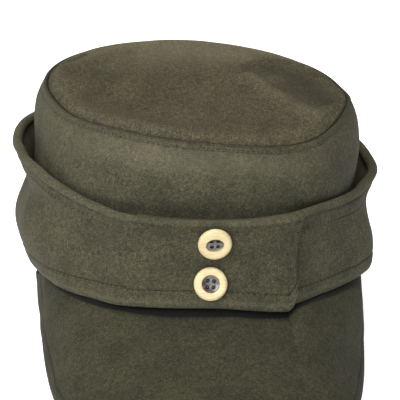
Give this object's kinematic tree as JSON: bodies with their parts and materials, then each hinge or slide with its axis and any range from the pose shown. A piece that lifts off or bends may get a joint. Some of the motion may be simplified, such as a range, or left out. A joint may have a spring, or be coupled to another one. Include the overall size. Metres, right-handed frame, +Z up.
{
  "type": "mountain cap",
  "caption": "Soft peaked mountain cap of wool melton with an oval top, a turned-up flap that overlaps and buttons at the front, and a broad cloth peak.",
  "frame": {"origin": "middle of the cap's box, on the surface that it rests on", "axes": "-Y towards the front of the peak, +X towards the wearer's left, +Z up"},
  "size_m": [0.1904, 0.2934, 0.1193],
  "materials": {
    "wool_cloth": "milled olive-grey wool melton with mixed olive, brown and grey fibres",
    "button_rim": "polished cream bone with a faint grain",
    "button_centre": "dark brown horn, glossy"
  },
  "bodies": {
    "root": {"crown_wall": "wool_cloth", "crown_top": "wool_cloth", "flap_overlapping": "wool_cloth", "flap_underlapping": "wool_cloth", "peak": "wool_cloth", "button_rim_upper": "button_rim", "button_rim_lower": "button_rim", "button_centre_upper": "button_centre", "button_centre_lower": "button_centre"}
  },
  "joints": []
}
